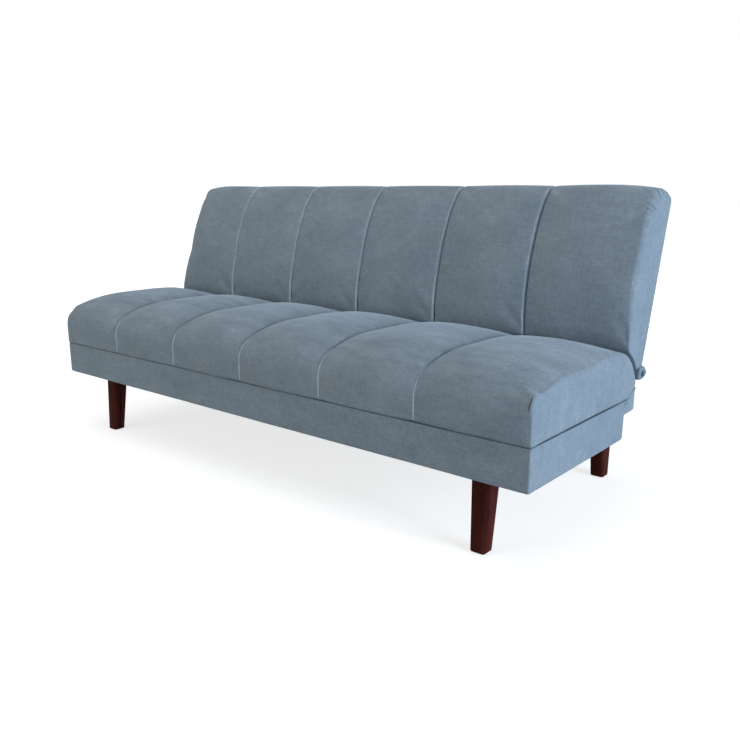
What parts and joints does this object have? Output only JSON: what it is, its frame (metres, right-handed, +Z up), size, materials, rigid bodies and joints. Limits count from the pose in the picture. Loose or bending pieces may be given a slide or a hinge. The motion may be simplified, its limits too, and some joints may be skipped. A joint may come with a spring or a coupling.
{
  "type": "folding sofa bed",
  "caption": "Armless upholstered sofa bed with channelled seat and back on tapered square legs; the back folds flat on ratchet hinges to make a bed.",
  "frame": {"origin": "on the floor, at the centre of the sofa's footprint with the back upright", "axes": "+X to the right seen from the front, -Y towards the sitter's feet, +Z up"},
  "size_m": [1.8, 0.7585, 0.831],
  "materials": {
    "upholstery": "short-pile blue-grey velvet",
    "leg_wood": "dark reddish-brown stain, satin lacquer",
    "dark_timber": "dark stain",
    "frame_timber": "sawn softwood",
    "foam": "open-cell foam",
    "felt": "needled felt",
    "webbing": "elastic webbing",
    "dust_cloth": "black non-woven cloth",
    "rubber": "matt black",
    "glide_plastic": "matt dark",
    "zinc_steel": "zinc plated",
    "hinge_steel": "black painted",
    "spring_steel": "oiled wire"
  },
  "bodies": {
    "base": {"base_corner_blocks": "frame_timber", "base_cover": "upholstery", "base_cross_rails": "frame_timber", "base_end_rail_left": "frame_timber", "base_end_rail_right": "frame_timber", "base_front_rail": "frame_timber", "base_rear_rail": "frame_timber", "bed_rest_pads": "rubber", "dust_cover": "dust_cloth", "foot_glides": "glide_plastic", "hinge_bracket_bolts": "zinc_steel", "hinge_bracket_left": "hinge_steel", "hinge_bracket_right": "hinge_steel", "hinge_pin_left": "zinc_steel", "hinge_pin_right": "zinc_steel", "leg_bearer_left": "dark_timber", "leg_bearer_right": "dark_timber", "leg_front_left": "leg_wood", "leg_front_right": "leg_wood", "leg_hanger_bolts": "zinc_steel", "leg_plate_screws": "zinc_steel", "leg_plates": "zinc_steel", "leg_rear_left": "leg_wood", "leg_rear_right": "leg_wood", "pawl_pins": "zinc_steel", "pawl_springs": "spring_steel", "rear_rest_rail": "dark_timber", "seat_cover": "upholstery", "seat_cross_rails": "frame_timber", "seat_end_rail_left": "frame_timber", "seat_end_rail_right": "frame_timber", "seat_foam": "foam", "seat_front_rail": "frame_timber", "seat_insulator": "felt", "seat_rear_rail": "frame_timber", "seat_spring_clips": "spring_steel", "seat_springs": "spring_steel"},
    "backrest": {"back_bottom_rail": "frame_timber", "back_cover": "upholstery", "back_end_rail_left": "frame_timber", "back_end_rail_right": "frame_timber", "back_foam": "foam", "back_stiles": "frame_timber", "back_top_rail": "frame_timber", "back_webbing": "webbing", "hinge_arm_bolts": "zinc_steel", "hinge_arm_left": "hinge_steel", "hinge_arm_right": "hinge_steel", "hinge_cover_left": "upholstery", "hinge_cover_right": "upholstery", "outside_back_panel": "upholstery"},
    "pawl_left": {"pawl_left": "hinge_steel"},
    "pawl_right": {"pawl_right": "hinge_steel"}
  },
  "joints": [
    {"name": "backrest_fold", "type": "hinge", "parent": "base", "child": "backrest", "pos_m": [0, 0.1902, 0.338], "axis": [-1, 0, 0], "range_deg": [-4, 74.5]},
    {"name": "pawl_left_turn", "type": "hinge", "parent": "base", "child": "pawl_left", "pos_m": [-0.861, 0.1922, 0.3], "axis": [1, 0, 0], "range_deg": [0, 12]},
    {"name": "pawl_right_turn", "type": "hinge", "parent": "base", "child": "pawl_right", "pos_m": [0.861, 0.1922, 0.3], "axis": [1, 0, 0], "range_deg": [0, 12]}
  ]
}
